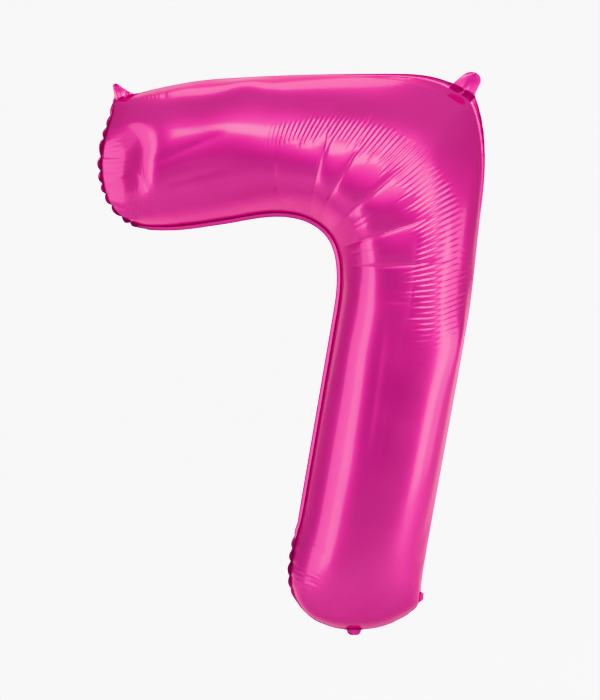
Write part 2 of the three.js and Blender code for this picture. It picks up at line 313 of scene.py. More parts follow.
foot_at = columns
inner_at = columns + rows
end_at = 2 * columns + rows
ring_end = len(ring_walk)
shows = mm * ring_measure(
    (0, 2.5), (60, 1.2), (foot_at, 1.2), (inner_at - 12, 2.2), (inner_at + 60, 6.5), (end_at - 60, 7.0),
    (end_at - 20, 5.5), (end_at + 40, 5.5), (ring_end - 12, 5.0), (ring_end, 2.5))
around = np.concatenate([ring_edge - ring_out * shows[:, None]] * 3)
for _ in range(24):
    around = 0.25 * np.roll(around, 1, axis=0) + 0.5 * around + 0.25 * np.roll(around, -1, axis=0)
weld_ring = around[ring_end: 2 * ring_end]
print("margin seen", round(shows.min() / mm, 1), "to", round(shows.max() / mm, 1), "mm")
weld_outer = weld_ring[: columns + 1]
weld_foot = weld_ring[columns: columns + rows + 1]
weld_inner = weld_ring[columns + rows: 2 * columns + rows + 1][::-1]
weld_end = np.vstack([weld_ring[2 * columns + rows:], weld_ring[:1]])[::-1]


def fill_between(outer, inner, foot_side, end_side):
    """A Coons patch. With s along the limb and t across it, each point is the blend of the long sides
    in t, plus the blend of the short sides in s, less the blend of the four corners in both."""
    s = (np.arange(columns + 1) / columns)[:, None, None]
    t = row_shares[None, :, None]
    long_blend = (1 - t) * outer[:, None] + t * inner[:, None]
    short_blend = (1 - s) * end_side[None] + s * foot_side[None]
    corner_blend = (1 - s) * ((1 - t) * outer[0] + t * inner[0]) + s * ((1 - t) * outer[-1] + t * inner[-1])
    return long_blend + short_blend - corner_blend


def eased(line, passes):
    """The line with its small corners eased: each point moves to the mean of itself and its neighbours,
    again and again, with the ends held."""
    line = line.copy()
    for _ in range(passes):
        line[1:-1] = 0.25 * line[:-2] + 0.5 * line[1:-1] + 0.25 * line[2:]
    return line


def plan_points():
    """The patch between eased sides, and the true sides' small corners on top, which die away
    inwards."""
    eased_outer, eased_inner = eased(weld_outer, 900), eased(weld_inner, 60)
    patch_points = fill_between(eased_outer, eased_inner, weld_foot, weld_end)
    t = row_shares[None, :, None]
    patch_points = patch_points + (weld_outer - eased_outer)[:, None] * np.exp(-((t / 0.05) ** 2))
    return patch_points + (weld_inner - eased_inner)[:, None] * np.exp(-(((1 - t) / 0.10) ** 2))


plan = plan_points()
print("plan", plan.shape, plan.reshape(-1, 2).min(0).round(4), plan.reshape(-1, 2).max(0).round(4))

# %% [markdown]
# ## How far the gas lifts the film
#
# A soap film over a slightly raised pressure takes the height that solves Poisson's equation, high in
# the middle of a wide place and low in a narrow one. Film that can't stretch meets the weld steeply,
# like the side of a tube, so the square of the height is solved instead of the height itself. One solve
# gives the round bar, the round leg and the fuller bend between them, with no seam where they meet.

# %% Solve the height
fullest = 112 * mm  # what the height can't pass where the bend is widest


def solve_lift(grid):
    """u of the equation div(grad u) = -1, u = 0 on the weld, by conjugate gradients. On a grid of cells
    a long and b wide, the flow over a cell's end is b / a times the step in u, and over its side a / b
    times it."""
    along = np.linalg.norm(np.gradient(grid, axis=0), axis=2)
    across = np.linalg.norm(np.gradient(grid, axis=1), axis=2)
    end_flow = (across / along)[1:] * 0.5 + (across / along)[:-1] * 0.5
    side_flow = (along / across)[:, 1:] * 0.5 + (along / across)[:, :-1] * 0.5
    load = (along * across)[1:-1, 1:-1]

    def outflow(inside):
        u = np.pad(inside, 1)
        over_ends = end_flow * np.diff(u, axis=0)
        over_sides = side_flow * np.diff(u, axis=1)
        return -(np.diff(over_ends, axis=0)[:, 1:-1] + np.diff(over_sides, axis=1)[1:-1])

    u = np.zeros_like(load)
    left_over = load.copy()
    direction = left_over.copy()
    size = np.sum(left_over**2)
    for step in range(900):
        flow = outflow(direction)
        move = size / np.sum(direction * flow)
        u += move * direction
        left_over -= move * flow
        smaller = np.sum(left_over**2)
        if smaller < 1e-12 * np.sum(load**2):
            break
        direction = left_over + smaller / size * direction
        size = smaller
    print("lift solved in", step, "steps")
    return np.pad(u, 1)


height = np.sqrt(2 * solve_lift(plan))
height = height / (1 + (height / fullest) ** 4) ** 0.25


def across_shares(grid):
    """How far across the limb each point is, from 0 on its outer side to 1 on its inner side."""
    walked = np.cumsum(np.linalg.norm(np.diff(grid, axis=1), axis=2), axis=1)
    return np.concatenate([np.zeros((len(grid), 1)), walked / walked[:, -1:]], axis=1)


def shift_ridge(heights, shares):
    """Round the bend the film is tightest on the inside, so the ridge lies nearer to it and the corner
    slopes away. Each column reads its height at share ** power, and the power is 1 away from the
    bend."""
    powers = 1 + 0.95 * np.exp(-(((places - 1.5) / 0.33) ** 2))
    each = zip(shares, powers, heights)
    return np.array([np.interp(share**power, share, column) for share, power, column in each])


height = shift_ridge(height, across_shares(plan))
steepest = 3.2  # height per distance from the weld, where puckers soften the film's rise


def plan_distance(grid):
    """Distance on the plan from each point to the nearest side, measured along the grid."""
    across = np.pad(np.cumsum(np.linalg.norm(np.diff(grid, axis=1), axis=2), axis=1), ((0, 0), (1, 0)))
    along = np.pad(np.cumsum(np.linalg.norm(np.diff(grid, axis=0), axis=2), axis=0), ((1, 0), (0, 0)))
    return np.minimum(np.minimum(across, across[:, -1:] - across), np.minimum(along, along[-1:] - along))


ceiling = steepest * plan_distance(plan) + 0.01 * mm
height = (np.maximum(height, 0.01 * mm) ** -4.0 + ceiling**-4.0) ** -0.25
from_left_end = np.pad(np.cumsum(np.linalg.norm(np.diff(plan, axis=0), axis=2), axis=0), ((1, 0), (0, 0)))
height = height * (1 + 0.11 * np.exp(-(((from_left_end - 60 * mm) / (50 * mm)) ** 2)))  # a full shoulder
past_collar = from_left_end - 40 * mm - 0.12 * (plan[:, :, 1] - 0.70)
collar = 0.46 * from_left_end + 0.85 * (past_collar + np.sqrt(past_collar**2 + (16 * mm) ** 2) - 3 * mm)
in_collar = 1 - smooth_step(plan[:, :, 1], 0.725, 0.775)  # low on the end the gathered film lies flatter
end_rise = in_collar * collar + (1 - in_collar) * 1.45 * from_left_end
end_ceiling = 8 * mm * smooth_step(from_left_end, 0, 4 * mm) + np.maximum(end_rise, 0) + 0.01 * mm
height = (np.maximum(height, 0.01 * mm) ** -6.0 + end_ceiling**-6.0) ** (-1 / 6)
height[[0, -1]] = 0
height[:, [0, -1]] = 0
print("highest", round(float(height.max()), 4))

# %% [markdown]
# ## Which way is out
#  Creases are added along the surface's normal, and they fade by their distance from the weld, so both
# are worked out once for every point.

# %% Directions on the dome
def surface_normals(surface):
    """Unit normals of a grid of points: the cross product of its two directions, turned to the
    front."""
    normal = np.cross(np.gradient(surface, axis=0), np.gradient(surface, axis=1))
    normal /= np.linalg.norm(normal, axis=2)[:, :, None] + 1e-12
    return normal * np.sign(-normal[:, :, 1:2].mean())


dome = np.dstack([plan[:, :, 0], -height, plan[:, :, 1]])
dome_normals = surface_normals(dome)
walk_along = np.concatenate([np.zeros((1, rows + 1)),
                             np.cumsum(np.linalg.norm(np.diff(dome, axis=0), axis=2), axis=0)])
steps_across = np.linalg.norm(np.diff(dome, axis=1), axis=2)
from_outer = np.concatenate([np.zeros((columns + 1, 1)), np.cumsum(steps_across, axis=1)], axis=1)
from_inner = from_outer[:, -1:] - from_outer
from_end = walk_along
from_foot = walk_along[-1:] - walk_along
from_weld = np.minimum(np.minimum(from_outer, from_inner), np.minimum(from_end, from_foot))
print("film across the bar", round(float(from_outer[np.argmin(np.abs(places - 0.5)), -1]), 3))

# %% [markdown]
# ## Creases
#
# Flat film can't close round a curve without gathering. On the inside of the bend it is drawn tight and
# throws long creases across the limb, sharp valleys with soft pillows between them. On the outside it
# has length to spare, which shows as many fine ripples side by side. Where an end is drawn in, short
# ripples stand on the weld. Each kind is a formula on the grid, added along the surface's normal.

# %% Wandering numbers
def wander(seed, count, knots_apart, size=1.0):
    """A smooth random row: random values at even knots, joined by cosine steps."""
    generator = np.random.default_rng(seed)
    values = generator.uniform(-1, 1, int(count / knots_apart) + 3)
    at = np.arange(count) / knots_apart
    low = at.astype(int)
    share = 0.5 - 0.5 * np.cos(np.pi * (at - low))
    return size * ((1 - share) * values[low] + share * values[low + 1])


def wander_field(seed, apart_along, apart_across, size=1.0):
    """The same over the grid: random values at even knots both ways, joined by smooth steps."""
    generator = np.random.default_rng(seed)
    values = generator.uniform(-1, 1, (int(columns / apart_along) + 3, int(rows / apart_across) + 3))
    a, b = np.arange(columns + 1) / apart_along, np.arange(rows + 1) / apart_across
    i, j = a.astype(int), b.astype(int)
    p, q = smooth_step(a - i, 0, 1)[:, None], smooth_step(b - j, 0, 1)[None]
    low_side = (1 - p) * values[np.ix_(i, j)] + p * values[np.ix_(i + 1, j)]
    high_side = (1 - p) * values[np.ix_(i, j + 1)] + p * values[np.ix_(i + 1, j + 1)]
    return size * ((1 - q) * low_side + q * high_side)


# %% [markdown]
# ## Puckers on the weld
#  Where an end is drawn in, the weld shortens and its edge stands in lobes, like the rim of a pie. One
# number says how strongly that happens, another where along the edge each lobe begins and ends.

# %% Where the weld puckers
def near(points, x, z, reach):
    """1 at a point, falling off as a bell with distance."""
    return np.exp(-((points[..., 0] - x) ** 2 + (points[..., 1] - z) ** 2) / reach**2)


def ring_pucker(points):
    """How strongly the weld puckers: most at the bar's end and the leg's lower left, where it is drawn
    in."""
    total = near(points, left, 0.740, 0.075) + near(points, left + 16 * mm, 0.660, 0.035)
    total += 0.8 * near(points, left + 50 * mm, 0.632, 0.022) + near(points, -0.100, 0.110, 0.050)
    total += 0.35 * near(points, right, 0.775, 0.045) + 0.4 * near(points, 0.085, 0.040, 0.030)
    return np.clip(total, 0, 1)


ring_turns = ring_walk / (21 * mm) + wander(17, len(ring_walk), 14, 0.30)
pucker = ring_pucker(ring_edge)
lobe_wave = np.abs(np.sin(np.pi * ring_turns)) ** 0.7  # 0 in a notch, 1 in the middle of a lobe
print("puckers on", round(float((pucker > 0.3).mean()), 2), "of the ring")

# %% [markdown]
# ## Ripples on the outside of the bend
#  These are what the eye reads as foil: dozens of even ripples, each catching the light as a thin
# bright line. Real ones stay in a belt, wander in pitch and are cut by smooth lanes. A plain sine would
# look like corduroy, so each of its measures wanders.

# %% Fine ripples round the outside of the bend
across_share = from_outer / from_outer[:, -1:]
plan_share = across_shares(plan)
ripple_row = int(np.argmin(np.abs(row_shares - 0.42)))
column_walk = walk_along[:, ripple_row]  # distance along the limb, where the ripples are


def bump(x, low, high, soft):
    """1 between low and high, falling smoothly to 0 over a width soft on either side."""
    return smooth_step(x, low - soft, low) * (1 - smooth_step(x, high, high + soft))


def ripples(seed):
    """Ripples that run across the limb: a sine of the distance along it. They lie in a belt whose
    middle moves round the bend's outer side, and their pitch, length and strength wander."""
    pitch = np.interp(places, [1.0, 1.25, 1.5, 2.0, 2.3], [6.0, 6.6, 7.4, 8.2, 8.8]) * mm
    turns = np.concatenate([[0], np.cumsum(np.diff(column_walk) / ((pitch[1:] + pitch[:-1]) / 2))])
    turns = turns[:, None] + wander_field(seed, 60, 17, 0.30)
    belt = np.interp(places, [1.0, 1.22, 1.5, 1.75, 2.0, 2.3], [0.50, 0.44, 0.51, 0.39, 0.29, 0.25])
    half = np.interp(places, [1.0, 1.22, 1.5, 1.75, 2.0, 2.3], [0.06, 0.08, 0.08, 0.13, 0.19, 0.12])
    uneven = wander_field(seed + 1, 5, 60)
    away = np.abs(plan_share - belt[:, None] - 0.02 * uneven) / (half[:, None] * (1 + 0.35 * uneven))
    strength = (0.75 + 0.25 * wander_field(seed + 2, 9, 15)) * (1 - smooth_step(away, 0.75, 1.35))
    strength *= (smooth_step(places, 0.98, 1.08) * (1 - smooth_step(places, 2.08, 2.20)))[:, None]
    from_lane = plan_share - np.interp(places, [1.7, 2.2], [0.30, 0.24])[:, None]
    in_lane = np.exp(-((from_lane / 0.018) ** 2)) * smooth_step(places, 1.7, 1.8)[:, None]
    return 0.45 * mm * strength * (1 - 0.75 * in_lane) * np.sin(2 * np.pi * turns)


# %% [markdown]
# ## Creases from the inside of the bend
#  The tight inner side throws a fan of sharp valleys, and the film bulges between them. A valley with a
# sharp floor and soft sides is an exponential of the distance from its line.

# %% Long creases from the inside of the bend
fan = [  # where each crease leaves the inside and where it ends: place and share, then depth and width in mm
    (1.07, 0.94, 1.06, 0.60, 0.5, 2.6), (1.30, 0.955, 1.19, 0.33, 1.5, 2.6),
    (1.395, 0.96, 1.335, 0.36, 1.2, 2.4), (1.542, 0.965, 1.53, 0.42, 1.7, 2.8),
    (1.703, 0.97, 1.765, 0.30, 1.6, 2.6), (1.857, 0.93, 1.93, 0.08, 1.2, 2.4),
]
lone = [
    (1.26, 0.66, 1.215, 0.30, 0.7, 2.0), (1.60, 0.93, 1.612, 0.70, 0.8, 2.2),
    (1.63, 0.94, 1.640, 0.76, 0.6, 2.0), (1.77, 0.92, 1.80, 0.70, 0.5, 2.0),
    (1.10, 0.95, 1.04, 0.66, 0.5, 2.2), (2.02, 0.70, 2.03, 0.30, 0.4, 2.2),
    (1.33, 0.42, 1.32, 0.30, 0.6, 1.8), (1.44, 0.58, 1.435, 0.34, 0.5, 1.8),
]


def line_places(start_place, inner_share, stop_place, outer_share):
    """The place of a crease's line at every point's share across the limb."""
    share = (plan_share - outer_share) / (inner_share - outer_share)
    return stop_place + (start_place - stop_place) * share


def crease(start_place, inner_share, stop_place, outer_share, depth, width):
    """A sharp valley, exp(-|d| / width) of the distance d from its line, fading towards both ends."""
    column = np.interp(line_places(start_place, inner_share, stop_place, outer_share), places,
                       np.arange(columns + 1))
    away = (np.arange(columns + 1)[:, None] - column) * np.gradient(walk_along, axis=0)
    span = inner_share - outer_share
    fade = smooth_step(plan_share, outer_share, outer_share + 0.45 * span)
    fade = fade * (1 - smooth_step(plan_share, inner_share - 0.22 * span, inner_share + 0.03))
    return -depth * mm * fade * np.exp(-np.sqrt(away**2 + (0.25 * width * mm) ** 2) / (width * mm))


def pillows():
    """Between two creases of the fan the film bulges: |sin| of a count that rises by one from crease to
    crease."""
    count = np.zeros_like(height)
    lines_at = [line_places(*row[:4]) for row in fan]
    for low, high in zip(lines_at[:-1], lines_at[1:]):
        count += np.clip((places[:, None] - low) / (high - low), 0, 1)
    swell = np.abs(np.sin(np.pi * count)) ** 0.75
    spread = smooth_step(plan_share, 0.42, 0.66) * (1 - smooth_step(plan_share, 0.86, 0.99))
    return 1.7 * mm * swell * spread * (0.8 + 0.35 * wander_field(77, 40, 30))


def long_creases():
    total = pillows()
    for row in fan + lone:
        total += crease(*row)
    return total


# %% [markdown]
# ## Short ripples and single valleys
#  The small marks share two tools: a soft-edged patch of parallel ripples, and a straight valley that
# fades at both ends.

# %% Short ripples on the ends and free lines on the film
def patch(x, z, turned, length, width, pitch, size, seed):
    """Parallel ripples round a point: a sine across them, in a soft ellipse, their crests turned by an
    angle. Lengths are in millimetres."""
    angle = math.radians(turned)
    dx, dz = plan[:, :, 0] - x, plan[:, :, 1] - z
    along = dx * math.cos(angle) + dz * math.sin(angle)
    across = -dx * math.sin(angle) + dz * math.cos(angle)
    soft = np.exp(-((along / (length * mm)) ** 2) - (across / (width * mm)) ** 2)
    turns = across / (pitch * mm) + wander_field(seed, 17, 9, 0.3)
    return size * mm * soft * np.sin(2 * np.pi * turns)


def line_valley(x0, z0, x1, z1, depth, width):
    """A valley along a straight line on the plan, fading to nothing at both ends."""
    start, run = np.array([x0, z0]), np.array([x1 - x0, z1 - z0])
    length = float(np.linalg.norm(run))
    offset = plan - start
    along = offset @ run / length
    away = (offset[:, :, 0] * run[1] - offset[:, :, 1] * run[0]) / length
    fade = bump(along / length, 0.3, 0.7, 0.3)
    return -depth * mm * fade * np.exp(-np.sqrt(away**2 + (0.4 * width * mm) ** 2) / (width * mm))


def weld_ripples(seed):
    """Ripples that stand on the weld and die away inwards: a cosine of the lobes counted along the
    weld, times exp(-d / reach) of the distance d from it."""
    around = len(ring_walk)
    at_end = (2 * columns + rows + (rows - np.arange(rows + 1))) % around
    at_foot = columns + np.arange(rows + 1)
    at_outer = np.arange(columns + 1)
    at_inner = columns + rows + (columns - np.arange(columns + 1))
    quiet = smooth_step(np.minimum(from_outer, from_inner), 0, 14 * mm)  # at the ends, none in the corners
    sides = [(at_end[None], from_end, 24, quiet), (at_foot[None], from_foot, 18, quiet),
             (at_outer[:, None], from_outer, 14, 1), (at_inner[:, None], from_inner, 18, 1)]
    total = np.zeros_like(height)
    for index, distance, reach, share in sides:
        lobes = (pucker * (lobe_wave - 0.6))[index]
        fading = np.exp(-distance / (reach * mm)) * smooth_step(distance, 0, 5 * mm)
        total += 2.0 * mm * lobes * fading * share
    fine = np.sin(2 * np.pi * (ring_walk / (9 * mm) + wander(seed, around, 24, 0.8)))
    for index, distance in ((at_outer[:, None], from_outer), (at_inner[:, None], from_inner)):
        fading = np.exp(-distance / (8 * mm)) * smooth_step(distance, 0, 3 * mm)
        total += 0.10 * mm * fine[index] * fading * smooth_step(np.minimum(from_end, from_foot), 0, 0.03)
    return total


# %% [markdown]
# ## The two foils
#
# Front and back are cut to one outline, so they share the weld and the flat margin outside it. The back
# is the front's mirror image, with ripples of its own. The margin leans back where the tight film pulls
# it over, and stands in small scallops where an end is gathered. A tab's root is pleated, so pleats run
# on into the margin.

# %% The margin
film = 0.2 * mm
film_place = 0.22 * mm  # from the middle plane to the middle of each film
margin_rings = 3


root_bells = {  # where each pleat stands on its root, as a share of the width, and its height in millimetres
    "top_left_tab": ((0.22, 0.9), (0.42, -0.7), (0.60, 0.8), (0.80, -0.5)),
    "top_right_tab": ((0.40, -0.3), (0.54, 0.5), (0.68, -0.3)),
    "lower_right_tab": ((0.5, 0.3),), "fill_neck": ((0.5, -0.2),),
}


def crimp(tab, across):
    """Pleats at a tab's root, as a height over the distance along its root line: a few bells, some up
    and some down, at uneven places."""
    share = across / root_widths[tab]
    inside = bump(share, 0.10, 0.90, 0.10)
    heights = np.zeros_like(share)
    for middle, size in root_bells[tab]:
        heights += size * np.exp(-(((share - middle) * root_widths[tab] / (2.4 * mm)) ** 2))
    return mm * inside * heights


def margin_heights():
    """How far the margin's outer edge stands off the middle plane, towards the back. It leans back
    along the inner side, and stands in scallops at the bar's end and the leg's lower left."""
    lean = np.sqrt(np.maximum(margin**2 - shows**2, 0)) / mm + ring_measure(
        (0, 0), (inner_at, 0), (inner_at + 60, 2.5), (end_at - 60, 2.5), (end_at, 0), (ring_end, 0))
    small = np.sin(2 * np.pi * ring_walk / (6.3 * mm) + 1.7 * np.sin(ring_walk / (23 * mm)))
    heights = lean * (1 - pucker) + pucker * (0.8 - 3.8 * lobe_wave) + (0.08 + 0.25 * pucker) * small
    for tab, (a, b) in tab_roots.items():
        along = (b - a) / np.linalg.norm(b - a)
        at = (ring_edge - a) @ along
        off = np.abs((ring_edge - a) @ np.array([-along[1], along[0]]))
        on_root = bump(at / np.linalg.norm(b - a), 0.0, 1.0, 0.25) * (off < 3 * mm)
        heights = heights * (1 - on_root)
    return heights * mm


def root_pleats(points):
    """Pleats of all tabs on points of the plan: each tab's own, fading inwards from its root line."""
    total = np.zeros(points.shape[:-1])
    for tab, (a, b) in tab_roots.items():
        along = (b - a) / np.linalg.norm(b - a)
        at = (points - a) @ along
        inward = (points - a) @ np.array([along[1], -along[0]])
        beside = (at > 0) & (at < root_widths[tab])
        fading = np.exp(-((inward / (7 * mm)) ** 2))
        total += np.where(beside, 0.5 * crimp(tab, at) * fading, 0)
    return total


edge_heights = margin_heights()
drawn_in = 1 - 0.85 * pucker * (1 - lobe_wave)  # the margin looks narrower in the notches between lobes

# %% [markdown]
# ## Lines that stand alone
#
# No two balloons crease alike. Besides the kinds that follow from the shape there are single valleys,
# where the film was folded in its packet, and small patches of ripples. Each is placed one by one, like a
# brush stroke.

# %% Place the free lines
def free_lines(side):
    """Ripples and valleys that stand alone. The back has the same kinds, shifted a little."""
    flip = 0 if side < 0 else 1
    shift = 0.012 * flip
    total = patch(-0.364, 0.728 - shift, 3, 24, 38, 7.4, 0.46, 31 + flip)
    total += patch(-0.326, 0.648, 80, 20, 17, 6.0, 1.0, 33 + flip)
    total += patch(-0.307, 0.818, -76, 17, 20, 6.3, 0.26, 35 + flip)
    total += patch(-0.066, 0.150, -8, 26, 26, 6.4, 0.40, 37 + flip)
    total += patch(-0.072, 0.098, -14, 22, 18, 7.0, 0.36, 39 + flip)
    total += patch(0.165, 0.560, 5, 26, 60, 8.4, 0.12, 43 + flip)
    total += line_valley(-0.287, 0.838, -0.283, 0.806, 0.8, 2.4)
    total += line_valley(-0.380, 0.683, -0.338, 0.703, 1.6, 3.0)
    total += line_valley(-0.331, 0.722 + shift, -0.303, 0.662, 3.2, 4.0)
    total += line_valley(-0.325, 0.700, -0.180, 0.760, 1.5, 7.0)
    total += line_valley(-0.306, 0.672, -0.170, 0.708, 1.7, 7.0)
    total += line_valley(-0.350, 0.628, -0.332, 0.662, 1.0, 2.6)
    total += line_valley(-0.303, 0.674, -0.303, 0.630, 2.2, 2.8)
    total += line_valley(-0.118, 0.600, -0.102, 0.528, 0.8, 3.0)
    total += line_valley(0.094, 0.622, 0.080, 0.494, 1.4, 3.4)
    total += line_valley(0.096, 0.562, 0.060, 0.400, 2.0, 5.0)
    total += line_valley(0.046, 0.500, 0.012, 0.250, 2.6, 8.0)
    total += line_valley(0.070, 0.470, 0.030, 0.235, 1.4, 6.0)
    total += line_valley(-0.080, 0.150, -0.040, 0.132, 0.9, 2.4)
    total += line_valley(-0.086, 0.102, -0.052, 0.084, 0.9, 2.4)
    total += line_valley(0.085, 0.082, 0.103, 0.088, 0.7, 2.4)
    total += 3.0 * mm * near(plan, -0.352, 0.668, 0.024) - 3.0 * mm * near(plan, -0.325, 0.740, 0.040)
    total -= 0.10 * (plan[:, :, 0] + 0.353) * near(plan, -0.353, 0.672, 0.019)  # the facet leans less
    return total


# %% [markdown]
# ## Close the film
#
# A printable and measurable piece is closed. Thickening the finest grid would double its size for a
# side that nobody sees, so the inner wall has a quarter of the points each way, and two rings of unlike
# number are joined by triangles. Each foil also keeps a number per point for the lobes of its margin,
# which carry painted shade: the material mixes them towards a dark ink.

# %% Build a foil
def foil_surface(side, seed):
    """The whole foil as points: the dome's grid with its creases, side -1 for the front and 1 for the
    back, and the rings of the margin from the weld to the cut edge."""
    creases = ripples(seed) + long_creases() + weld_ripples(seed + 5) + free_lines(side)
    creases += 0.5 * mm * wander_field(seed + 9, 40, 22) * smooth_step(from_weld, 0, 60 * mm)
    creases *= smooth_step(from_weld, 0.5 * mm, 7 * mm)
    front = dome + dome_normals * creases[:, :, None]
    front[:, :, 1] *= -side
    front[:, :, 1] += side * film_place * np.clip(1 - from_weld / (12 * mm), 0, 1)
    rings = []
    reach = ring_edge - weld_ring
    wide = np.linalg.norm(reach, axis=1)
    out = reach / wide[:, None]
    slant = np.hypot(wide, edge_heights)
    for ring in range(1, margin_rings + 1):
        share = ring / margin_rings
        flat = weld_ring + reach * (share * drawn_in)[:, None]
        off = side * film_place * np.clip(share * 3, 0, 1)
        flat_off = -off * edge_heights / slant
        deep = edge_heights * share + root_pleats(flat) + off * wide / slant
        deep = deep + side * film_place * (1 - min(3 * share, 1))
        flat = flat + out * flat_off[:, None]
        rings.append(np.column_stack([flat[:, 0], deep, flat[:, 1]]))
    return front, np.stack(rings)


def grid_faces(index):
    """Four-cornered faces of a grid of point numbers."""
    return np.stack([index[:-1, :-1], index[:-1, 1:], index[1:, 1:], index[1:, :-1]], axis=-1).reshape(-1, 4)


def make_mesh(name, points, *face_lists):
    mesh = bpy.data.meshes.new(name)
    mesh.from_pydata(points.tolist(), [], [face for faces in face_lists for face in faces.tolist()])
    mesh.update()
    mesh.shade_smooth()
    piece = bpy.data.objects.new(name, mesh)
    bpy.context.scene.collection.objects.link(piece)
    return piece


def thicken(piece, thickness):
    """Film of even thickness round the given surface, closed along its edge."""
    solid = piece.modifiers.new("film", "SOLIDIFY")
    solid.thickness = thickness
    solid.offset = 0
    solid.use_even_offset = False


def add_numbers(piece, name, values):
    """A number per point that a material can read."""
    attribute = piece.data.attributes.new(name, "FLOAT", "POINT")
    attribute.data.foreach_set("value", np.asarray(values, dtype=np.float32).ravel())


def loop_of(low_column, high_column, low_row, high_row):
    """Columns and rows of the points round a block of the grid, clockwise from its first corner."""
    along = np.arange(low_column, high_column)
    across = np.arange(low_row, high_row)
    loop_columns = np.concatenate([along, np.full(len(across), high_column), along[::-1] + 1,
                                   np.full(len(across), low_column)])
    loop_rows = np.concatenate([np.full(len(along), low_row), across, np.full(len(along), high_row),
                                across[::-1] + 1])
    return loop_columns, loop_rows


def stitch(fine, coarse, steps):
    """Triangles between two rings. A fine ring's edge takes the coarse point that steps names for its
    start, and where the name changes, a triangle fills the gap."""
    ahead, steps_ahead = np.roll(fine, -1), np.roll(steps, -1)
    edges = np.column_stack([fine, ahead, coarse[steps]])
    change = steps != steps_ahead
    gaps = np.column_stack([coarse[steps][change], ahead[change], coarse[steps_ahead][change]])
    return np.vstack([edges, gaps])


def build_foil(name, side, seed):
    """Outside: the fine grid and the margin's rings. Inside: the same rings one film further in, and a
    grid with a quarter of the points each way, which nobody sees. The two are joined at the cut
    edge."""
    front, rings = foil_surface(side, seed)
    wall = dome - dome_normals * (film + 1.3 * mm * smooth_step(from_weld, 0, 25 * mm))[:, :, None]
    wall[:, :, 1] *= -side
    wall[:, :, 1] += side * film_place * np.clip(1 - from_weld / (12 * mm), 0, 1)
    reach = ring_edge - weld_ring
    leaning = -reach * edge_heights[:, None]
    inward = np.column_stack([leaning[:, 0], np.sum(reach**2, axis=1), leaning[:, 1]])
    inward /= np.linalg.norm(inward, axis=1)[:, None]
    inner_rings = rings - side * film * inward[None]
    weld_wall = front[ring_columns, ring_rows] - np.array([0, side * film, 0])
    wall = wall[coarser: -coarser: coarser, coarser: -coarser: coarser]
    groups = [front.reshape(-1, 3), rings.reshape(-1, 3), weld_wall, inner_rings.reshape(-1, 3),
              wall.reshape(-1, 3)]
    starts = np.cumsum([0] + [len(group) for group in groups])
    around = len(ring_columns)
    grid_index = np.arange((columns + 1) * (rows + 1)).reshape(columns + 1, rows + 1)
    outer_belt = np.vstack([grid_index[ring_columns, ring_rows],
                            starts[1] + np.arange(margin_rings * around).reshape(-1, around)])
    inner_belt = np.vstack([starts[2] + np.arange(around),
                            starts[3] + np.arange(margin_rings * around).reshape(-1, around)])
    rim = np.vstack([outer_belt[-1], inner_belt[-1]])
    wall_index = starts[4] + np.arange(wall.shape[0] * wall.shape[1]).reshape(wall.shape[:2])
    loop_columns, loop_rows = loop_of(0, wall.shape[0] - 1, 0, wall.shape[1] - 1)
    number = np.full(wall.shape[:2], -1)
    number[loop_columns, loop_rows] = np.arange(len(loop_columns))
    nearest_column = np.clip(np.round(ring_columns / coarser).astype(int) - 1, 0, wall.shape[0] - 1)
    nearest_row = np.clip(np.round(ring_rows / coarser).astype(int) - 1, 0, wall.shape[1] - 1)
    seam = stitch(inner_belt[0], wall_index[loop_columns, loop_rows], number[nearest_column, nearest_row])

    def closed(belt):
        return np.hstack([belt, belt[:, :1]])

    # Painted shade: the margin's puckered lobes get a number that darkens their colour in the material.
    lobes = np.clip(pucker * 1.4, 0, 1)
    shade_on_rings = np.tile(lobes, margin_rings)
    plain_front = np.zeros(len(groups[0]))
    plain_wall = np.zeros(len(groups[4]))
    painted_lobe_shade = np.concatenate([plain_front, shade_on_rings, 0 * lobes, shade_on_rings, plain_wall])
    quads = np.vstack([grid_faces(grid_index), grid_faces(closed(outer_belt))[:, ::-1],
                       grid_faces(closed(inner_belt)), grid_faces(closed(rim))[:, ::-1],
                       grid_faces(wall_index)[:, ::-1]])
    if side > 0:
        quads, seam = quads[:, ::-1], seam[:, ::-1]
    piece = make_mesh(name, np.vstack(groups), quads, seam)
    add_numbers(piece, "painted_lobe_shade", painted_lobe_shade)
    print(name, len(quads) * 2 + len(seam), "triangles")
    return piece


front_foil = build_foil("front_foil", -1, 100)
back_foil = build_foil("back_foil", 1, 200)

# %% [markdown]
# ## Tabs and fill neck
#
# The tabs are the same two films, running on past the weld. Each starts in the pleats of its root and
# ends in a soft curl. A tab is a grid over its root line and its length, with a rounded tip.

# %% Build the tabs
tab_shapes = {  # root, tip and length, corner radius, lean of the tip, all from the measured model
    "top_left_tab": (34, 7, 22.5, 3, -9), "top_right_tab": (37, 24, 30, 11.9, 6),
    "lower_right_tab": (15, 10, 11, 4, 0), "fill_neck": (22, 19, 8, 6, 0),
}
tab_sag = {"top_left_tab": (2.6, 2.0), "top_right_tab": (-3.0, 0.2), "lower_right_tab": (0.5, 0.3),
           "fill_neck": (0.8, 0.5)}


def tab_outline(tab, steps):
    """Half-width on the left and right at even steps of the length: straight sides and a round tip."""
    root, tip, length, radius, lean = tab_shapes[tab]
    v = np.linspace(0, 1, steps)
    y = v * length
    centre = lean * v
    half = root / 2 + (tip - root) / 2 * (v**0.65 if tip < root / 2 else v)  # a pointed tab has hollow sides
    corner = np.clip(y - (length - radius), 0, radius)
    pulled = radius - np.sqrt(np.maximum(radius**2 - corner**2, 0))
    half = np.maximum(half - pulled, 0.6)
    return (centre - half) * mm, (centre + half) * mm, y * mm


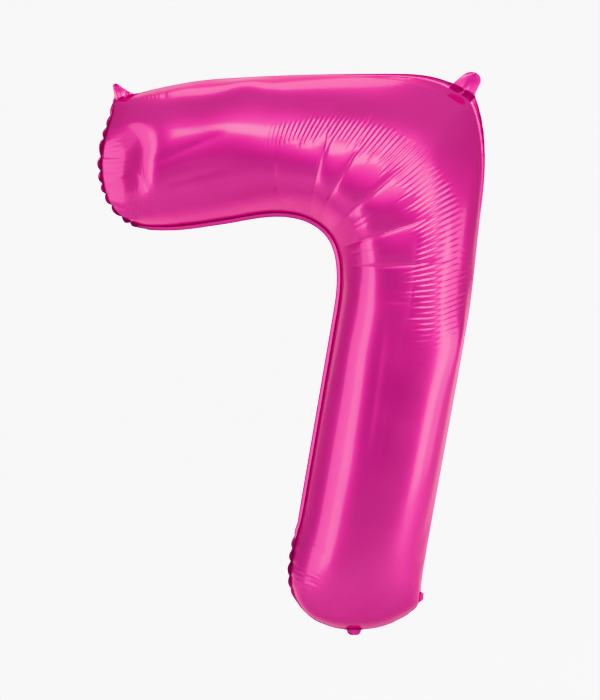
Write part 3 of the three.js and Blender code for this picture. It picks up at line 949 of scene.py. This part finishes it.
def build_tab(tab, side, seed, wide=44, long=26):
    """Points at root + along * across + out * length, with pleats at the root and a curl towards the
    tip."""
    a, b = tab_roots[tab]
    width = root_widths[tab]
    along2 = (b - a) / np.linalg.norm(b - a)
    along = np.array([along2[0], 0, along2[1]])
    out = np.array([-along2[1], 0, along2[0]])
    start = np.array([a[0], 0, a[1]])
    low, high, y = tab_outline(tab, long)
    u = np.linspace(0, 1, wide)[:, None]
    across = width / 2 + low[None] + (high - low)[None] * u
    length_share = (y / y[-1])[None]
    lift, wave = tab_sag[tab]
    pleats = crimp(tab, np.clip(across, 0, width)) * np.exp(-(y[None] / (9 * mm)) ** 2)
    bow = lift * mm * length_share**1.6 * np.cos(np.pi * (u - 0.45))
    ripple = wave * mm * 0.5 * length_share * np.sin(2 * np.pi * (1.3 * u + 0.35 * length_share) + seed)
    off = pleats + bow + ripple
    turn = np.radians(62.0 if tab == "lower_right_tab" else 0.0)
    hinge = 0.75 * mm
    run = y[None] - hinge
    bent = smooth_step(run, -hinge, 2 * mm) if turn else np.zeros_like(run)
    forward = np.where(run > 0, run * np.cos(turn * bent), run)
    backward = np.where(run > 0, run * np.sin(turn * bent), 0)
    inset = (-2.1 if tab == "fill_neck" else -0.8) * mm
    forward = forward + hinge
    forward[:, 0] = inset
    gap = side * film_place
    reached = forward - off * np.sin(turn) * (run > 0)
    deep = backward + off * np.cos(turn * bent) + gap
    points = start + along * across[:, :, None] + out * reached[:, :, None]
    points = points + np.array([0, 1.0, 0]) * deep[:, :, None]
    index = np.arange(wide * long).reshape(wide, long)
    faces = grid_faces(index)
    if side > 0:
        faces = faces[:, ::-1]
    name = f"{tab}_{'front' if side < 0 else 'back'}_foil"
    piece = make_mesh(name, points.reshape(-1, 3), faces)
    thicken(piece, film)
    return piece


tab_pieces = {}
for number, tab in enumerate(tab_shapes):
    for side in (-1, 1):
        tab_pieces[tab, side] = build_tab(tab, side, 0.7 * number)
print(len(tab_pieces), "tab pieces")

# %% [markdown]
# ## Materials
#
# Balloon film is clear plastic with a breath of aluminium behind a transparent ink. The metal gives the
# colour and a soft, wide reflection. The smooth plastic in front gives a second, sharper one that stays
# white, which is why a magenta balloon shows pale pink bands. A metallic base under a coat is just
# that.

# %% A small helper for shader maths
class Value:
    """A socket that can be added, multiplied and compared like a number."""

    def __init__(self, tree, socket):
        self.tree = tree
        self.socket = socket

    def node(self, kind, settings=None, values=None, output=0):
        """Add a node of a kind, set its options, then fill its sockets with numbers or links."""
        made = self.tree.nodes.new(kind)
        for key, value in (settings or {}).items():
            setattr(made, key, value)
        for key, value in (values or {}).items():
            if isinstance(value, Value):
                self.tree.links.new(value.socket, made.inputs[key])
            else:
                made.inputs[key].default_value = value
        return Value(self.tree, made.outputs[output])

    def maths(self, operation, first, second=0.0):
        return self.node("ShaderNodeMath", {"operation": operation}, {0: first, 1: second})

    def __add__(self, other):
        return self.maths("ADD", self, other)

    def __radd__(self, other):
        return self.maths("ADD", other, self)

    def __sub__(self, other):
        return self.maths("SUBTRACT", self, other)

    def __rsub__(self, other):
        return self.maths("SUBTRACT", other, self)

    def __mul__(self, other):
        return self.maths("MULTIPLY", self, other)

    def __rmul__(self, other):
        return self.maths("MULTIPLY", other, self)

    def step(self, low, high):
        """0 below low, 1 above high."""
        return self.node("ShaderNodeMapRange", {"interpolation_type": "SMOOTHSTEP"},
                         {"Value": self, "From Min": low, "From Max": high})

    def mixed(self, first, second):
        """A colour between two, by this share."""
        return self.node("ShaderNodeMix", {"data_type": "RGBA"}, {"Factor": self, 6: first, 7: second}, 2)


def new_material(name):
    """A material with one Principled surface, and a Value to start from."""
    material = bpy.data.materials.new(name)
    material.use_nodes = True
    tree = material.node_tree
    surface = tree.nodes["Principled BSDF"]
    return material, surface, Value(tree, None)


def noise(start, scale, detail=2.0, stretch=(1, 1, 1)):
    """Cloudy noise from 0 to 1 in object space."""
    place = start.node("ShaderNodeTexCoord", output=3)
    squeezed = start.node("ShaderNodeVectorMath", {"operation": "MULTIPLY"}, {0: place, 1: stretch})
    return start.node("ShaderNodeTexNoise", {}, {"Vector": squeezed, "Scale": scale, "Detail": detail})


# %% [markdown]
# ## Ink, metal and clear film
#  The ink's colour goes through the metal's own reflection, so it is set deeper than the balloon looks.
# It varies slowly, as print does, and is painted darker on the margin's lobes, which turn away from the
# light: painted shade, not ink.

# %% Film materials
ink = (0.78, 0.045, 0.340, 1)
deep_ink = (0.73, 0.038, 0.31, 1)
# the dark ink of the painted shade on the margin's lobes
lobe_painted_shade_ink = (0.33, 0.012, 0.15, 1)


def make_foil_material():
    """The printed metal film: ink that is a touch deeper in clouds, painted shade on the margin's lobes,
    a coat, and crinkles too fine for the grid."""
    material, surface, start = new_material("pink_foil_film")
    clouds = noise(start, 9.0)
    printed = clouds.step(0.35, 0.75).mixed(ink, deep_ink)
    # painted shade: the margin's lobes are mixed towards the dark ink
    painted_lobe_shade = start.node("ShaderNodeAttribute", {"attribute_name": "painted_lobe_shade"}, output=2)
    shade = painted_lobe_shade.mixed(printed, lobe_painted_shade_ink)
    start.tree.links.new(shade.socket, surface.inputs["Base Color"])
    roughness = 0.34 + 0.08 * noise(start, 26.0)
    start.tree.links.new(roughness.socket, surface.inputs["Roughness"])
    surface.inputs["Metallic"].default_value = 0.92
    surface.inputs["Specular Tint"].default_value = (0.80, 0.20, 0.45, 1)
    surface.inputs["Coat Weight"].default_value = 0.26
    surface.inputs["Coat IOR"].default_value = 2.4
    surface.inputs["Coat Roughness"].default_value = 0.13
    fine = noise(start, 95.0, 3.0)
    bumped = start.node("ShaderNodeBump", {}, {"Strength": 0.03, "Distance": 0.0008, "Height": fine})
    start.tree.links.new(bumped.socket, surface.inputs["Normal"])
    return material


def make_valve_material():
    """Clear film: thin, smooth and nearly colourless, a little milky in clouds."""
    material, surface, start = new_material("clear_valve_film")
    clouds = noise(start, 60.0)
    start.tree.links.new((0.12 + 0.15 * clouds).socket, surface.inputs["Roughness"])
    start.tree.links.new((0.30 + 0.15 * clouds).socket, surface.inputs["Alpha"])
    surface.inputs["Base Color"].default_value = (0.93, 0.93, 0.95, 1)
    return material


foil_material = make_foil_material()
valve_material = make_valve_material()
for piece in [front_foil, back_foil, *tab_pieces.values()]:
    piece.data.materials.append(foil_material)
for node in ("valve_front_ply", "valve_back_ply"):
    valve = bpy.data.objects[node]
    valve.data.materials.clear()
    valve.data.materials.append(valve_material)

# %% [markdown]
# ## Which piece stands for which
# Each foil and tab takes the place of a measured piece, which is hidden. The foils hang from the
# envelope's body.

# %% Put each piece in its measured part's place
for side, foil, node in ((-1, front_foil, "front_panel"), (1, back_foil, "back_panel")):
    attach(foil, "envelope")
    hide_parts(node)
for (tab, side), piece in tab_pieces.items():
    root, tip, length, radius, lean = tab_shapes[tab]
    a, b = tab_roots[tab]
    middle = (a + b) / 2
    out2 = np.array([-(b - a)[1], (b - a)[0]]) / np.linalg.norm(b - a)
    start = middle - 1.0 * mm * out2
    end = middle + 2.5 * mm * out2
    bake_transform(piece)
    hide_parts(f"{tab}_{'front' if side < 0 else 'back'}")

# %% [markdown]
# ## Light, floor and camera
#
# The balloon hangs in a bright white room, as in a catalogue. Two tall soft windows stand to its left
# and right, nearly level with it, and draw the two pale bands down the leg. A wide light above and
# behind brightens the top edges. The side of the camera is dimmer, so the parts that face it show the
# film's own deep colour.

# %% The room
scene = bpy.context.scene
scene.view_settings.view_transform = "Khronos PBR Neutral"
scene.view_settings.exposure = 0.0


def backdrop_material(name, colour, glow, fading=False):
    """Matt paint that glows a little, as a lit studio's paper does. It may fade to grey towards the
    camera."""
    material, surface, start = new_material(name)
    cloud = 0.88 + 0.04 * noise(start, 1.5)
    start.tree.links.new(cloud.socket, surface.inputs["Roughness"])
    surface.inputs["Specular IOR Level"].default_value = 0.0
    surface.inputs["Emission Strength"].default_value = glow
    if fading:
        place = start.node("ShaderNodeTexCoord", output=3)
        depth = start.node("ShaderNodeSeparateXYZ", {}, {0: place}, 1)
        far = depth.step(0.2, 1.3)
        pale = far.mixed((0.50, 0.50, 0.50, 1), (colour, colour, colour, 1))
        lit = far.mixed((0.45, 0.45, 0.45, 1), (1, 1, 1, 1))
        start.tree.links.new(pale.socket, surface.inputs["Base Color"])
        start.tree.links.new(lit.socket, surface.inputs["Emission Color"])
    else:
        surface.inputs["Base Color"].default_value = (colour, colour, colour, 1)
        surface.inputs["Emission Color"].default_value = (1, 1, 1, 1)
    return material


def plane(name, points, material):
    piece = make_mesh(name, np.array(points, dtype=float), np.array([[0, 1, 2, 3]]))
    piece.data.materials.append(material)
    return piece


floor_z = -0.40  # the balloon floats
plane("floor", [(-9, -9, floor_z), (9, -9, floor_z), (9, 9, floor_z), (-9, 9, floor_z)],
      backdrop_material("pale_floor", 0.66, 0.50, fading=True))
plane("wall", [(-1.1, 1.6, floor_z), (1.1, 1.6, floor_z), (1.1, 1.6, 1.9), (-1.1, 1.6, 1.9)],
      backdrop_material("pale_wall", 0.5, 1.0))


def area_light(name, azimuth, elevation, distance, width, tall, power):
    """A rectangle of light that faces the balloon's middle, placed by its angles from the camera's
    side."""
    light = bpy.data.lights.new(name, "AREA")
    light.shape = "RECTANGLE"
    light.size = width
    light.size_y = tall
    light.energy = power
    lamp = bpy.data.objects.new(name, light)
    az, el = math.radians(azimuth), math.radians(elevation)
    lamp.location = (-0.08 + distance * math.sin(az) * math.cos(el), -distance * math.cos(az) * math.cos(el),
                     0.45 + distance * math.sin(el))
    lamp.rotation_euler = (math.pi / 2 - el, 0, az)
    scene.collection.objects.link(lamp)
    return lamp


area_light("left_window", -66, 5, 2.2, 2.6, 1.9, 17)
area_light("left_lamp", -47, 3, 2.1, 0.8, 1.4, 4.5)
area_light("right_window", 78, -4, 2.2, 2.1, 1.2, 11)
area_light("right_lamp", 60, -4, 2.1, 0.9, 1.2, 7.5)
area_light("upper_right_window", 27, 27, 2.4, 0.75, 0.75, 11)
area_light("upper_light", 4, 25, 2.4, 1.2, 0.34, 8.5)
area_light("sky_light", -174, 66, 2.0, 1.0, 0.8, 5.5)

world = bpy.data.worlds.new("soft_room")
scene.world = world
world.use_nodes = True
world_start = Value(world.node_tree, None)
direction = world_start.node("ShaderNodeTexCoord", output=0)
parts = world.node_tree.nodes.new("ShaderNodeSeparateXYZ")
world.node_tree.links.new(direction.socket, parts.inputs[0])
behind = Value(world.node_tree, parts.outputs[1])
upward = Value(world.node_tree, parts.outputs[2])
in_front = 0.30 + 0.16 * behind.step(-0.99, -0.86)
glow = in_front + 0.12 * behind.step(-0.3, 0.6) + 0.26 * upward.step(0.15, 0.8)
background = world.node_tree.nodes["Background"]
world.node_tree.links.new(glow.socket, background.inputs["Strength"])
background.inputs["Color"].default_value = (1, 1, 1, 1)

# %% [markdown]
# ## The camera
#  The camera stands level with the balloon's middle and a few steps away, so the numeral keeps its
# proportions.

# %% The camera
camera_data = bpy.data.cameras.new("camera")
camera = bpy.data.objects.new("camera", camera_data)
scene.collection.objects.link(camera)
camera_distance = 3.0
seen_height = 1.064
camera_data.sensor_fit = "VERTICAL"
camera_data.angle_y = 2 * math.atan(seen_height / 2 / camera_distance)
camera.location = (-0.082, -camera_distance, 0.435)
camera.rotation_euler = (math.pi / 2, 0, 0)
scene.camera = camera
